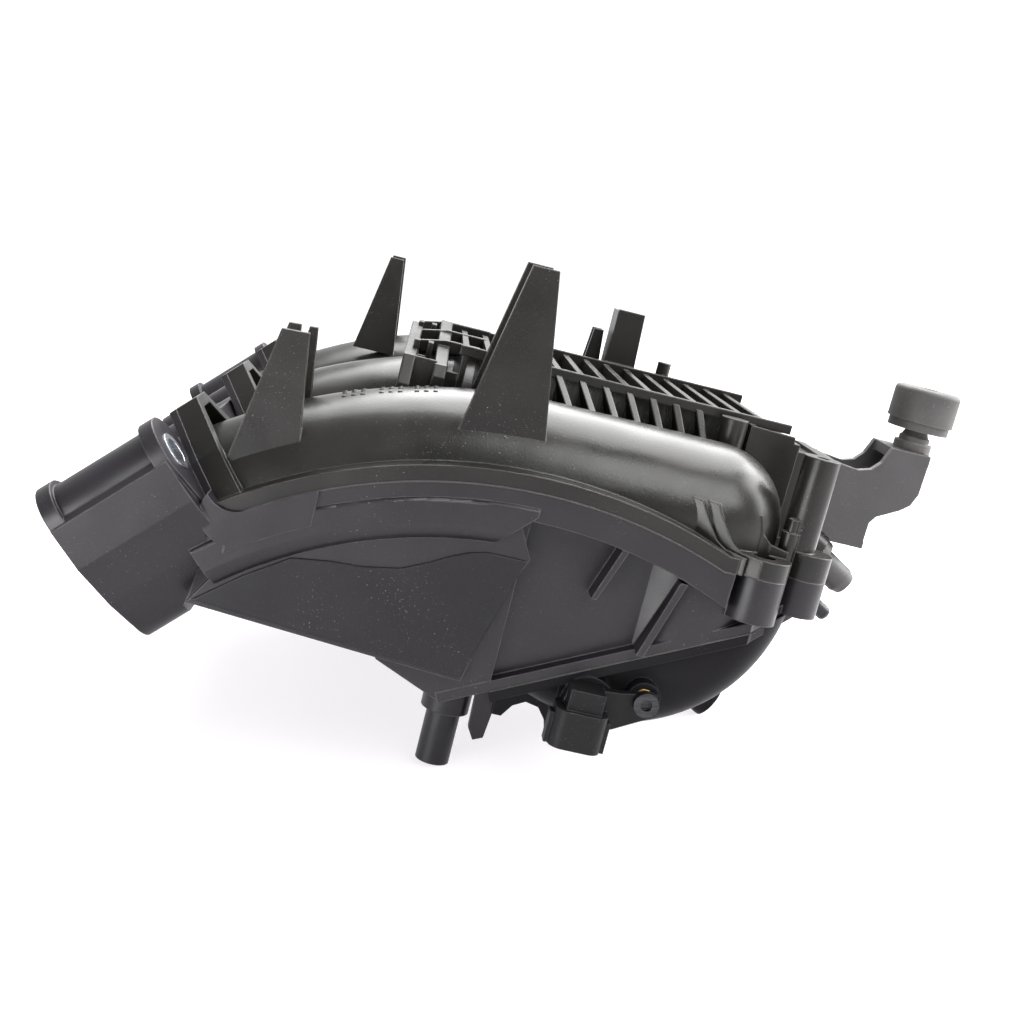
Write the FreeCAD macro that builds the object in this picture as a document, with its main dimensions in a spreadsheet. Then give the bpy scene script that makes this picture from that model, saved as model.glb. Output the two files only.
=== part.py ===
import FreeCAD, Part
import math
import os
import re
import Sketcher

# A three-runner intake manifold in welded plastic, with the fittings that it carries.
#
# Working frame (millimetres): +Y runs along the crankshaft, from the near end to the far end,
# +X runs from the cylinder head to the rear, and +Z points up along the cover fins. Runner 2
# lies on Y = 0. Every sub-part is modelled here, and then stands on its feet: STANCE tilts the
# whole manifold about Y and puts the centre of its base at the origin.

V = FreeCAD.Vector
Turn = FreeCAD.Rotation

doc = FreeCAD.newDocument("intake_manifold")
sheet = doc.addObject("Spreadsheet::Sheet", "sizes")

DRIVING = [
    ("cylinder_pitch", 91, "distance between runners, the bore spacing of the engine"),
    ("stance_angle", 14, "tilt of the manifold as it stands, degrees"),
    ("wall", 3, "moulded wall"),
    ("runner_bore", 19, "inner radius of a runner"),
    ("arc_x", -14.5, "centre of the runner arc"),
    ("arc_z", -58, "centre of the runner arc"),
    ("arc_radius", 147.5, "runner axis and upper weld seam"),
    ("bend_x", 35, "axis of the leg that drops into the plenum"),
    ("deck_z", 80, "weld seam at the rear"),
    ("deck_end", 74, "rear edge of the deck"),
    ("seam_half", 120, "half length of the upper weld flange"),
    ("seam_over", 4.5, "weld flange above the seam"),
    ("seam_under", 4.2, "weld flange below the seam"),
    ("seam_deep", 8, "deep part of the flange below the seam"),
    ("face_reach", 65, "head face, measured along the ducts"),
    ("clamp_start", -25, "joint of shell and port block, along the ducts"),
    ("clamp_thick", 6.8, "end frame of each upper runner"),
    ("clamp_half", 28.5, "half width of an end frame at its foot"),
    ("clamp_top", 145.2, "top of an end frame, across the ducts"),
        ("port_low", 95.5, "bottom of a port block, across the ducts"),
    ("port_top", 137, "top of a port block, across the ducts"),
    ("port_axis", 116, "axis of the ports, across the ducts"),
    ("port_wide", 22.5, "half width of a port"),
    ("port_tall", 13.5, "half height of a port"),
    ("bolt_axis", 136, "outer head bolts, across the ducts"),
    ("inner_bolt_axis", 132, "inner head bolts, across the ducts"),
    ("bolt_outer", 114, "outer head bolts, from runner 2"),
    ("limiter_radius", 5.5, "steel sleeve for a head bolt"),
    ("limiter_bore", 3.7, "hole for an M7 bolt"),
    ("limiter_end", -27.5, "seat of the bolt head, along the ducts"),
    ("seam_round", 8, "rounded turn of the upper weld seam at the end frames"),
    ("body_half", 111, "half length of the plenum"),
    ("corner_x", 50, "where the plenum's rear corners begin"),
    ("corner_y", 88, "where the plenum's rear corners end"),
    ("shoulder_half", 115.2, "half length of the plenum under the runners"),
    ("bowl_x", 14, "axis of the plenum bowl"),
    ("bowl_z", 74, "axis of the plenum bowl"),
    ("bowl_radius", 50, "outside of the plenum bowl"),
    ("bowl_round", 11, "rounded ends of the bowl"),
    ("rim_drop", 25.8, "lower weld seam below the bowl axis"),
    ("rim_angle", 26.3, "slope of the lower weld seam, degrees"),
    ("rim_thick", 3, "lower weld flange, each side of its seam"),
    ("rim_out", 4.5, "reach of the lower weld flange"),
    ("throttle_x", -29, "axis of the throttle bore"),
    ("throttle_z", 52.5, "axis of the throttle bore"),
    ("throttle_bore", 20, "radius of the throttle bore"),
    ("neck_wall", 3.4, "wall of the throttle neck"),
    ("throttle_face", 149, "face of the throttle flange"),
    ("flange_thick", 10, "throttle flange"),
    ("flange_side", 66, "throttle flange, square"),
    ("throttle_bolts", 50, "spacing of the throttle bolts"),
    ("insert_radius", 4, "brass insert"),
    ("insert_bore", 2.5, "thread core of an M6 insert"),
    ("insert_length", 9, "brass insert"),
    ("screw_insert_radius", 2.9, "small brass insert"),
    ("screw_radius", 1.95, "M4 screw"),
    ("grate_top", 119.8, "top of the rib grate"),
    ("grate_near", -76, "near rail of the grate"),
    ("grate_start", -46, "left end of the grate"),
    ("grate_end", 57, "right end of the grate"),
    ("rib_pitch", 7.3, "ribs of the grate"),
    ("rib_thick", 1.9, "ribs of the grate"),
    ("fin_thick", 2.6, "cover fins"),
    ("grommet_radius", 10.4, "rubber grommet of the engine cover"),
    ("stud_x", 103.2, "ball stud"),
    ("stud_y", -52, "ball stud"),
    ("stud_base", 119.5, "seat of the ball stud"),
    ("foot_x", -25.5, "hose stub that the near end stands on"),
    ("foot_y", 85, "hose stubs, from runner 2"),
    ("foot_z", -5.05, "mouth of the hose stub"),
    ("foot_radius", 5.25, "hose stub"),
    ("bracket_half", 11, "half width of the cover bracket"),
    ("bracket_low", 92, "lower bracket screw"),
    ("bracket_high", 104.5, "upper bracket screw"),
    ("sensor_x", 11, "axis of the pressure sensor"),
    ("sensor_z", 33, "axis of the pressure sensor"),
    ("sensor_bore", 5.6, "bore for the sensor's spigot"),
    ("sensor_seat", 116, "sensor seat, from runner 2"),
    ("sensor_screw_x", 26.5, "screw of the pressure sensor"),
    ("sensor_screw_z", 38, "screw of the pressure sensor"),
    ("servo_radius", 4.6, "brake servo spigot"),
    ("nipple_radius", 2.4, "vapour nipple"),
    ("play", 0.05, "radial play of a loose fit"),
]
ALIASES = [alias for alias, number, meaning in DRIVING]
for row, (alias, number, meaning) in enumerate(DRIVING, 1):
    sheet.set(f"A{row}", meaning)
    sheet.set(f"B{row}", str(number))
    sheet.setAlias(f"B{row}", alias)
doc.recompute()

# ---------------------------------------------------------------- formulas and directions


def formula(text):
    """The same formula with every sheet alias pointing at the sheet."""
    def point(word):
        return "sizes." + word.group() if word.group() in ALIASES else word.group()
    return re.sub(r"[a-z_]+", point, str(text))


def value(text):
    """The number that a formula comes to now."""
    return float(sheet.evalExpression(formula(text)))


RUNNERS = ["-cylinder_pitch", "0", "cylinder_pitch"]
RUNNER_OUTER = "(runner_bore + wall)"
CROWN = "(arc_z + arc_radius)"
DUCT_AXIS = "((arc_z - arc_x) / sqrt(2) + arc_radius)"
ARC_START = "((arc_x + arc_z) / sqrt(2))"
DUCT_SINK = "((arc_z - arc_x) / sqrt(2))"
DECK_START = "(arc_x + sqrt(arc_radius ^ 2 - (deck_z - arc_z) ^ 2))"
DECK_BOSS_X = 49.8
DECK_BOSSES = [-112, 112]
DECK_BOSS_RADIUS = 7.8
BOLT_TUBE_RADIUS = 9
BRACKET_SCREWS = ["bracket_low", "bracket_high"]
SERVO_X, SERVO_Y, SERVO_Z = 71.5, -60, 85
NIPPLE_X, NIPPLE_Y, NIPPLE_Z = 64, -62, 76.3
STAY_X, STAY_Y = 40, 88
STAY_SEAT = f"{STAY_X + 8} * tan(stance_angle)"
HEAD_BOLTS = [("-bolt_outer", "bolt_axis"), ("-cylinder_pitch / 2", "inner_bolt_axis"),
              ("cylinder_pitch / 2", "inner_bolt_axis"), ("bolt_outer", "bolt_axis")]
FAR = 400
HALF_FAR = FAR / 2

Y_AXIS = V(0, 1, 0)
LEVEL = Turn()
UPRIGHT = Turn()
ALONG_X = Turn(Y_AXIS, 90)
ALONG_Y = Turn(V(1, 0, 0), -90)
FACING_Y = Turn(V(1, 0, 0), 90)
DUCT = Turn(Y_AXIS, -45)
HOSE_DROP = Turn(Y_AXIS, 120)
BREATHER_DROP = Turn(Y_AXIS, 117.3)
ALONG_DUCT = DUCT.multiply(ALONG_X)
RIM = Turn(Y_AXIS, -value("rim_angle"))
STANCE_TURN = Turn(Y_AXIS, value("stance_angle"))
UPRIGHT_AS_IT_STANDS = STANCE_TURN.inverted()
ARC_FROM_CROWN = Turn(V(0, 0, 1), V(-1, 0, 0), V(0, -1, 0), "ZXY")
PORT_SECTION = Turn(Y_AXIS, DUCT.multVec(V(0, 0, 1)), DUCT.multVec(V(1, 0, 0)), "ZXY")


def along_duct(reach, across):
    """X and Z of a point given along and across the ducts, which climb at 45 degrees."""
    return f"((({reach}) - ({across})) / sqrt(2))", f"((({reach}) + ({across})) / sqrt(2))"


def off_rim(along, above):
    """X and Z of a point given along and above the lower weld seam, from the bowl's axis."""
    run = f"bowl_x + ({along}) * cos(rim_angle) - ({above}) * sin(rim_angle)"
    rise = f"bowl_z + ({along}) * sin(rim_angle) + ({above}) * cos(rim_angle)"
    return run, rise


# ---------------------------------------------------------------- building blocks


def bind(thing, formulas):
    for name, text in formulas.items():
        thing.setExpression(name, formula(text))
    return thing


def put(thing, x, y, z, turn=LEVEL):
    thing.Placement = FreeCAD.Placement(V(), turn)
    return bind(thing, {"Placement.Base.x": x, "Placement.Base.y": y, "Placement.Base.z": z})


def box(x, y, z, length, width, height, turn=LEVEL):
    """A block with its low corner at x, y, z."""
    thing = doc.addObject("Part::Box", "block")
    bind(thing, {"Length": length, "Width": width, "Height": height})
    return put(thing, x, y, z, turn)


def rod(x, y, z, radius, length, turn=UPRIGHT):
    """A round bar from x, y, z along the turned Z axis."""
    thing = doc.addObject("Part::Cylinder", "rod")
    bind(thing, {"Radius": radius, "Height": length})
    return put(thing, x, y, z, turn)


def cone(x, y, z, radius, end_radius, length, turn=UPRIGHT):
    thing = doc.addObject("Part::Cone", "cone")
    bind(thing, {"Radius1": radius, "Radius2": end_radius, "Height": length})
    return put(thing, x, y, z, turn)


def ball(x, y, z, radius):
    thing = doc.addObject("Part::Sphere", "ball")
    bind(thing, {"Radius": radius})
    return put(thing, x, y, z)


def ring(x, y, z, middle, radius, turn=UPRIGHT, sweep="360"):
    thing = doc.addObject("Part::Torus", "ring")
    bind(thing, {"Radius1": middle, "Radius2": radius, "Angle3": sweep})
    return put(thing, x, y, z, turn)


def duct_box(reach, y, across, length, width, height):
    x, z = along_duct(reach, across)
    return box(x, y, z, length, width, height, DUCT)


def duct_rod(reach, y, across, radius, length):
    x, z = along_duct(reach, across)
    return rod(x, y, z, radius, length, ALONG_DUCT)


def draw(sketch, corners):
    """Fill a sketch with a closed outline of straight sides, each corner held by its two formulas."""
    points = [V(value(across), value(up), 0) for across, up in corners]
    for start, end in zip(points, points[1:] + points[:1]):
        sketch.addGeometry(Part.LineSegment(start, end), False)
    for number, (across, up) in enumerate(corners):
        following = (number + 1) % len(corners)
        sketch.addConstraint(Sketcher.Constraint("Coincident", number, 2, following, 1))
        for kind, text in (("DistanceX", across), ("DistanceY", up)):
            place = Sketcher.Constraint(kind, -1, 1, number, 1, value(text))
            constraint = sketch.addConstraint(place)
            sketch.setExpression(f"Constraints[{constraint}]", formula(text))


def prism(corners, x, y, z, turn, direction, thick):
    """A straight-sided outline, drawn in the turned XY plane at x, y, z, and made thick."""
    sketch = doc.addObject("Sketcher::SketchObject", "outline")
    put(sketch, x, y, z, turn)
    draw(sketch, corners)
    solid = doc.addObject("Part::Extrusion", "prism")
    solid.Base = sketch
    solid.DirMode = "Custom"
    solid.Dir = direction
    solid.Solid = True
    return bind(solid, {"LengthFwd": thick})


def plate(corners, y, thick):
    """A flat plate across Y: its corners are x, z formulas."""
    return prism(corners, "0", y, "0", FACING_Y, Y_AXIS, thick)


def slab(corners, z, thick):
    """A flat plate across Z: its corners are x, y formulas."""
    return prism(corners, "0", "0", z, LEVEL, V(0, 0, 1), thick)


def duct_plate(corners, y, reach, thick):
    """A flat plate across the ducts: its corners are y offsets and heights across the ducts."""
    x, z = along_duct(reach, 0)
    return prism(corners, x, y, z, PORT_SECTION, DUCT.multVec(V(1, 0, 0)), thick)


def mirrored(corners):
    """The corners, followed by their mirror images in reverse, as one closed outline."""
    return corners + [(f"-({across})", up) for across, up in reversed(corners)]


def oval(reach, y, major, minor):
    """An ellipse across a duct, on the port axis."""
    thing = doc.addObject("Part::Ellipse", "oval")
    bind(thing, {"MajorRadius": major, "MinorRadius": minor})
    x, z = along_duct(reach, "port_axis")
    return put(thing, x, y, z, PORT_SECTION)


def oval_bar(reach, y, major, minor, length):
    thing = doc.addObject("Part::Extrusion", "oval_bar")
    thing.Base = oval(reach, y, major, minor)
    thing.DirMode = "Custom"
    thing.Dir = DUCT.multVec(V(1, 0, 0))
    thing.Solid = True
    return bind(thing, {"LengthFwd": length})


def union(*things):
    thing = doc.addObject("Part::MultiFuse", "union")
    thing.Shapes = list(things)
    return thing


def minus(body, *tools):
    thing = doc.addObject("Part::Cut", "cut")
    thing.Base = body
    thing.Tool = union(*tools) if len(tools) > 1 else tools[0]
    return thing


def overlap(first, second):
    thing = doc.addObject("Part::Common", "overlap")
    thing.Base = first
    thing.Tool = second
    return thing


def rounded(body, radius, chosen):
    """The body with a fillet on each edge that the test chooses."""
    doc.recompute()
    edges = [number for number, edge in enumerate(body.Shape.Edges, 1) if chosen(edge)]
    thing = doc.addObject("Part::Fillet", "rounded")
    thing.Base = body
    thing.Edges = [(number, value(radius), value(radius)) for number in edges]
    return thing


def turned(label, half_section):
    """A body turned about its own Z axis from a half section of radius, height formulas."""
    body = doc.addObject("PartDesign::Body", label)
    sketch = body.newObject("Sketcher::SketchObject", label + "_section")
    plane = [each for each in body.Origin.OriginFeatures if each.Role == "XZ_Plane"][0]
    sketch.AttachmentSupport = (plane, "")
    sketch.MapMode = "FlatFace"
    draw(sketch, half_section)
    revolution = body.newObject("PartDesign::Revolution", label + "_turned")
    revolution.Profile = sketch
    revolution.ReferenceAxis = (sketch, ["V_Axis"])
    revolution.Angle = 360
    body.Tip = revolution
    return body


PIECES = {}


def piece(label, thing):
    """Name a finished sub-part."""
    thing.Label = label
    PIECES[label] = thing
    return thing


# ---------------------------------------------------------------- runners and seams


def runner_tube(y, radius, mouth):
    """A runner as a solid bar: the arc, the level run, the turn and the leg down to its mouth."""
    return union(
        ring("arc_x", y, "arc_z", "arc_radius", radius, ARC_FROM_CROWN, "45"),
        rod("arc_x", y, CROWN, radius, "bend_x - arc_x", ALONG_X),
        ball("bend_x", y, CROWN, radius),
        rod("bend_x", y, mouth, radius, f"{CROWN} - ({mouth})"),
    )


def port_bore(y):
    """The duct between the end of the arc and the oval port in the head face."""
    round_end = doc.addObject("Part::Circle", "round_end")
    bind(round_end, {"Radius": "runner_bore"})
    x, z = along_duct(ARC_START, DUCT_AXIS)
    put(round_end, x, y, z, PORT_SECTION)
    loft = doc.addObject("Part::Loft", "port_bore")
    loft.Sections = [round_end, oval("-face_reach - 0.01", y, "port_wide", "port_tall")]
    loft.Solid = True
    return loft


def all_runners(radius, mouth):
    return union(*[runner_tube(y, radius, mouth) for y in RUNNERS])


def seam_turn():
    """The filled corner where the weld seam turns up along the end frames, in an arc."""
    reach = "(clamp_start + seam_round)"
    across = f"({DUCT_SINK} + sqrt((arc_radius + seam_round) ^ 2 - ({reach} - {ARC_START}) ^ 2))"
    x, z = along_duct(reach, across)
    return minus(
        duct_box("clamp_start - 1", -HALF_FAR, f"{across} - seam_round - 2", "seam_round - 1", FAR,
                 "seam_round + 2"),
        rod(x, -HALF_FAR - 1, z, "seam_round", FAR + 2, ALONG_Y),
    )


def under_seam():
    """Everything below the upper weld seam, and everything left of the end frames."""
    x, z = along_duct(f"clamp_start - {FAR}", -HALF_FAR)
    return union(
        rod("arc_x", -HALF_FAR, "arc_z", "arc_radius", FAR, ALONG_Y),
        box(DECK_START, -HALF_FAR, f"deck_z - {FAR}", FAR, FAR, FAR),
        box(x, -HALF_FAR, z, FAR, FAR, FAR, DUCT),
        seam_turn(),
    )


def both_sides(half):
    """A closed outline from its half on the +Y side."""
    return [(x, f"-({y})") for x, y in half] + half[::-1]


def outer_plan(low, high):
    """The plan of the welded body with its flanges: its rear corners are cut off."""
    half = [(-200, "body_half + 20"), ("corner_x - 9", "body_half + 20"), ("corner_x - 8.6", "body_half"),
            ("corner_x", "body_half"), ("deck_end", "corner_y")]
    return slab(both_sides(half), low, high - low)


def inner_plan(low, high):
    """The plan of the room inside the plenum's walls."""
    half = [(-200, "body_half - wall"), ("corner_x - 0.4 * wall", "body_half - wall"),
            ("deck_end - wall", "corner_y - 0.4 * wall")]
    return slab(both_sides(half), low, high - low)


def seam_ring(inner, outer, start, end, half):
    """A stretch of a weld flange that follows the runner arc, from x = start to x = end."""
    band = minus(
        rod("arc_x", f"-({half})", "arc_z", f"arc_radius + {outer}", f"2 * ({half})", ALONG_Y),
        rod("arc_x", -HALF_FAR, "arc_z", f"arc_radius + {inner}", FAR, ALONG_Y),
    )
    return overlap(band, box(start, -HALF_FAR, 30, f"({end}) - ({start})", FAR, FAR))


# ---------------------------------------------------------------- upper shell


def frame_outline(inset):
    """The frame's outline across the ducts: an arch that leaves room beside it for the head bolts."""
    return mirrored([
        (f"-clamp_half + {inset}", 102), (f"-clamp_half + {inset}", 112),
        (f"-24 + {inset}", f"121 - 0.4 * {inset}"),
        (f"-18.4 + 0.9 * {inset}", f"130.6 - 0.4 * {inset}"),
        (f"-10.5 + 0.6 * {inset}", f"clamp_top - 5.3 - 0.8 * {inset}"),
        (f"-6 + 0.3 * {inset}", f"clamp_top - {inset}"),
    ])


def end_frame(y):
    """The frame at the head end of an upper runner, with a pocket between it and the runner."""
    return minus(
        duct_plate(frame_outline(0), y, "clamp_start", "clamp_thick"),
        duct_plate(frame_outline(3.4), y, "clamp_start + 2.4", "clamp_thick"),
    )


def fins():
    """Tapered blades that locate the engine cover: pairs on the end runners, one near the middle."""
    front = [("-104", 70), ("-95.3", 115.4), ("-87.7", 115.8), ("-83.3", 80)]
    back = [("-104", 74), ("-96", 115), ("-92.5", 115.2), ("-92", 111), ("-90.5", 111),
            ("-90", 115.2), ("-87.6", 115.4), ("-83.6", 80)]
    tall = [("-44", 92), ("-33.1", 148.2), ("-25.7", 148.2), ("-16.5", 92)]
    far = [("-84", 96), ("-77", 134), ("-71.8", 134), ("-67.5", 96)]
    blades = [
        plate(front, "-109", "fin_thick"),
        plate(back, "-84", "fin_thick"),
        plate(tall, "-109", "fin_thick"),
        plate(tall, "-84", "fin_thick"),
        plate(far, "75", "fin_thick"),
        plate(far, "100", "fin_thick"),
        plate([(6.2, 116), (7.1, 138.5), (16.3, 138.5), (17.4, 116)], "0", "fin_thick"),
        box(6.8, 0, 116, 2, 14, 22),
        plate([(0.2, 116), (1.4, 129.6), (4.8, 129.6), (6, 116)], "11", "1.8"),
        plate([(0.2, 116), (1.4, 129.6), (4.8, 129.6), (6, 116)], "17", "1.8"),
        rod(27.8, 2.5, 112, 2.4, 12),
        box(0, -2.2, 108, 32, 21, 8.5),
    ]
    return blades


def grate():
    """Open cells over runners 1 and 2: two rails with thin ribs between them."""
    rail_deep = 2.8
    rails = [
        box("grate_start", "grate_near", f"grate_top - {rail_deep}",
            "grate_end - grate_start", "2.4", rail_deep),
        box("grate_start", "-2.4", "arc_z + arc_radius", "grate_end - grate_start", "2.4",
            f"grate_top - {CROWN}"),
    ]
    count = 1 + int(value("(grate_end - grate_start - rib_thick) / rib_pitch"))
    ribs = [
        box(f"grate_start + rib_pitch * {number} + 1", "grate_near + 0.4", 80,
            "rib_thick", "-grate_near - 1", "grate_top - 81.2")
        for number in range(count)
    ]
    left_frame = [
        plate([(-60, 88), (-60, 113.2), (-52, 113.2), (-51, 111), (-45, 111), (-45, 88)],
              "-74", "2"),
        box(-60, -74, 84, 2, 74, 28.5),
        box(-60, -2, 88, 15, 2, 24),
    ]
    clips = []
    for y, top in ((-62, 117), (-20, 119.4)):
        clips += [box(-60, y, 108, 1.8, 7, f"{top} - 108"), box(-55.6, y, 108, 1.6, 7, f"{top} - 108"),
                  box(-60, y, f"{top} - 6", 6, 1.6, 1.6)]
    right_end = [
        rod(38.4, -80.5, 88, 4.1, 30.4),
        plate([(44, 88), (44, 117.4), (58, 116.9), (60, 88)], "-79.5", "2"),
        box(58, -79.5, 84, 2, 79.5, 31),
        box(44, -79.5, 84, 1.8, 8, 33.4),
    ]
    return rails + ribs + left_frame + clips + right_end


def corner_web(x, y, angle, upper_edge):
    """A thin web that sweeps down from a runner's side to the corner boss."""
    turn = Turn(V(0, 0, 1), angle).multiply(FACING_Y)
    start, end = upper_edge[0][0], upper_edge[-1][0]
    outline = [(start, 78), *upper_edge, (end, 78)]
    return prism(outline, x, y, "0", turn, turn.multVec(V(0, 0, 1)), 1.4)


def rear_deck():
    """The rear weld flange with its screw bosses, cover post and stiffening webs."""
    pieces = [
        overlap(box(f"{DECK_START} - 2", "-seam_half", "deck_z", f"deck_end - {DECK_START} + 2",
                    "2 * seam_half", "seam_over"), outer_plan(60, 100)),
        rod(61.6, -100, "deck_z", 5.3, "115 - deck_z"),
        rod(65, -100, "deck_z", 7.4, 7.6),
        rod(57.6, -104, "deck_z", 1.7, 16.5),
        rod(57.6, -104, "deck_z", 2.6, 12.6),
        rod(63, 100, "deck_z", 6, 18),
    ]
    for y in DECK_BOSSES:
        pieces.append(rod(DECK_BOSS_X, y, "deck_z", DECK_BOSS_RADIUS, 5.4))
    long_sweep = [(-4, 97.4), (0, 97), (1.4, 94.4), (4.6, 90), (6.6, 87.5), (9.4, 85.8), (16, 84.9)]
    short_sweep = [(-5, 96.4), (0, 96), (1.8, 91), (4.5, 88.6), (10, 87.5)]
    for side in (-1, 1):
        pieces += [corner_web(x, side * 111.8, side * 26, long_sweep) for x in (29, 33.6)]
        pieces.append(corner_web(47, side * 107.6, side * 3, short_sweep))
    tower = [
        box(70.8, -70, "deck_z", 3.2, 36, 32),
        box(58, -70, "deck_z", 16, 2.5, 32),
        box(58, -36.5, "deck_z", 16, 2.5, 32),
        box(58, -70, 108, 16, 36, 2.5),
        *[rod("deck_end - 12", "stud_y", z, 4.6, 11, ALONG_X) for z in BRACKET_SCREWS],
    ]
    return pieces + tower


def upper_shell():
    sheet_band = overlap(seam_ring("-4", "seam_over", "-112", 54, "seam_half"), outer_plan(0, 130))
    solid = union(
        all_runners(RUNNER_OUTER, "deck_z - 4"),
        sheet_band,
        *[end_frame(y) for y in RUNNERS],
        *fins(),
        *grate(),
        *rear_deck(),
    )
    servo_boss = minus(
        rod(SERVO_X, SERVO_Y, SERVO_Z, 7.6, 8.5, HOSE_DROP),
        box(0, -HALF_FAR, 0, "deck_end", FAR, "deck_z"),
    )
    holes = [
        rod(61.6, -100, 93, 2.1, 30),
        *[rod(DECK_BOSS_X, y, "deck_z - 1", "insert_bore + 0.8", 40) for y in DECK_BOSSES],
        *[rod("deck_end - 7", "stud_y", z, "screw_insert_radius + play", 20, ALONG_X)
          for z in BRACKET_SCREWS],
        rod(SERVO_X, SERVO_Y, SERVO_Z, "servo_radius + play", 30, HOSE_DROP),
    ]
    shell = minus(solid, under_seam(), all_runners("runner_bore", "deck_z - 4"))
    return minus(union(shell, servo_boss), *holes)


# ---------------------------------------------------------------- middle shell


def body_outline(inset):
    """The plenum's outline above the lower weld seam. Inset leaves room for the wall."""
    if not inset:
        return [
            off_rim("-61.5", "-rim_drop"), (-50, 32), (-66, 56), (-74, 78), (-74, 100),
            ("deck_end", 100), ("deck_end", 77), off_rim("47", "-rim_drop"),
        ]
    return [
        off_rim("-59", "wall - rim_drop"), ("-50 + wall / 2", "32 + wall"),
        ("-66 + wall", "56 + wall / 2"), (-69.5, 74), (-69.5, 100), (DECK_START, 100),
        (DECK_START, "deck_z - seam_under"), ("deck_end - wall", "deck_z - seam_under"),
        ("deck_end - wall - 8", "deck_z - seam_under - 1.4"), off_rim("42", "wall - rim_drop"),
    ]


def port_block(y):
    """The block around one port: rounded below, and sloping up towards the runner."""
    length = "face_reach - 28.5"
    corners = [(-32.2, "port_top"), (-34, "port_top - 1.6"), (-33.4, 123), (-28.5, 110), (-19, "port_low")]
    section = duct_plate(mirrored(corners), y, "-face_reach", length)

    def lower_corner(edge):
        middle = DUCT.inverted().multVec(edge.CenterOfMass)
        return abs(edge.Length - value(length)) < 0.1 and middle.z < 115
    side = [along_duct(reach, across) for reach, across in (
        (-70, 150), (-70, 90), (-53, 90), (-50.5, 98.6), (-43.6, 103.1), (-36.2, 108.3),
        (-31.2, 113.4), (-20, 122), (-20, 150))]
    return overlap(rounded(section, "9", lower_corner), plate(side, f"{y} - 40", 80))


def port_blocks():
    """Head flange, one block around each port, and the tubes that hold the head bolts."""
    blocks = [duct_box("-face_reach", "-cylinder_pitch", 99, 8, "2 * cylinder_pitch", 36)]
    for y in RUNNERS:
        blocks.append(port_block(y))
        blocks.append(duct_plate(frame_outline(0), y, "clamp_start - 2.4", 2.4))
    for y, axis in HEAD_BOLTS:
        blocks.append(duct_rod("-face_reach", y, axis, BOLT_TUBE_RADIUS, "face_reach - 30"))
        blocks.append(duct_rod("-face_reach", y, axis, BOLT_TUBE_RADIUS + 1.6, 4.6))
        blocks.append(duct_rod("limiter_end - 4.4", y, axis, 10.8, 4.4))
        blocks.append(duct_plate([(-10.7, 134.5), (-5.5, 121.5), (0, 117.5), (5.5, 121.5), (10.7, 134.5)],
                                 y, "limiter_end - 4.4", 4.4))
        blocks.append(duct_box("-face_reach", f"{y} - 3", 118, "face_reach + limiter_end - 1", 6, 18))
    return blocks


def cheek(low_y):
    """The bulge along an end runner below its weld flange. It fades out towards the gusset."""
    long = 16
    top, bottom = "arc_radius - seam_under", "arc_radius - 16.4"
    bar = minus(
        rod("arc_x", low_y, "arc_z", top, long, ALONG_Y),
        rod("arc_x", low_y, "arc_z", bottom, long, ALONG_Y),
    )
    outside = value(low_y) if value(low_y) < 0 else value(low_y) + long

    def outer_edge(edge, radius):
        around = 2 * math.pi * value(radius)
        return abs(edge.CenterOfMass.y - outside) < 0.1 and abs(edge.Length - around) < 1
    softened = rounded(bar, "5", lambda edge: outer_edge(edge, bottom))
    softened = rounded(softened, "1.2", lambda edge: outer_edge(edge, top))
    x, z = along_duct(-38, 70)
    head_side = box(x, -HALF_FAR, z, 150, FAR, 80, DUCT)
    return overlap(overlap(softened, head_side), box(-140, -HALF_FAR, 0, 124, FAR, 120))


def end_gusset(y, lug):
    """The flat plate between the head flange and the plenum. The far one reaches the ground."""
    corners = [(-104.4, 37), (-25.6, 31.8), (-20.4, 57.5), (-15, 70.4), (-20, 80), (-60, 74), (-95, 52)]
    if lug:
        corners[1:1] = [(-74, 35.2), (-61.5, "-61.5 * tan(stance_angle)"),
                        (-53.5, "-53.5 * tan(stance_angle)"), (-46, 33.3)]
    return plate(corners, y, 2.8)


def rim_flange(start, above, length):
    """A weld flange in the plane of the lower seam, with its rear corners cut off."""
    x, z = off_rim(start, above)
    strip = box(x, "-body_half - rim_out", z, length, "2 * (body_half + rim_out)", "rim_thick", RIM)
    half = [(-200, 130), (40, 130), (52, "body_half + 3"), (66, "body_half - 10"), (70, "body_half - 20")]
    return overlap(strip, slab(both_sides(half), 0, 120))


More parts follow.
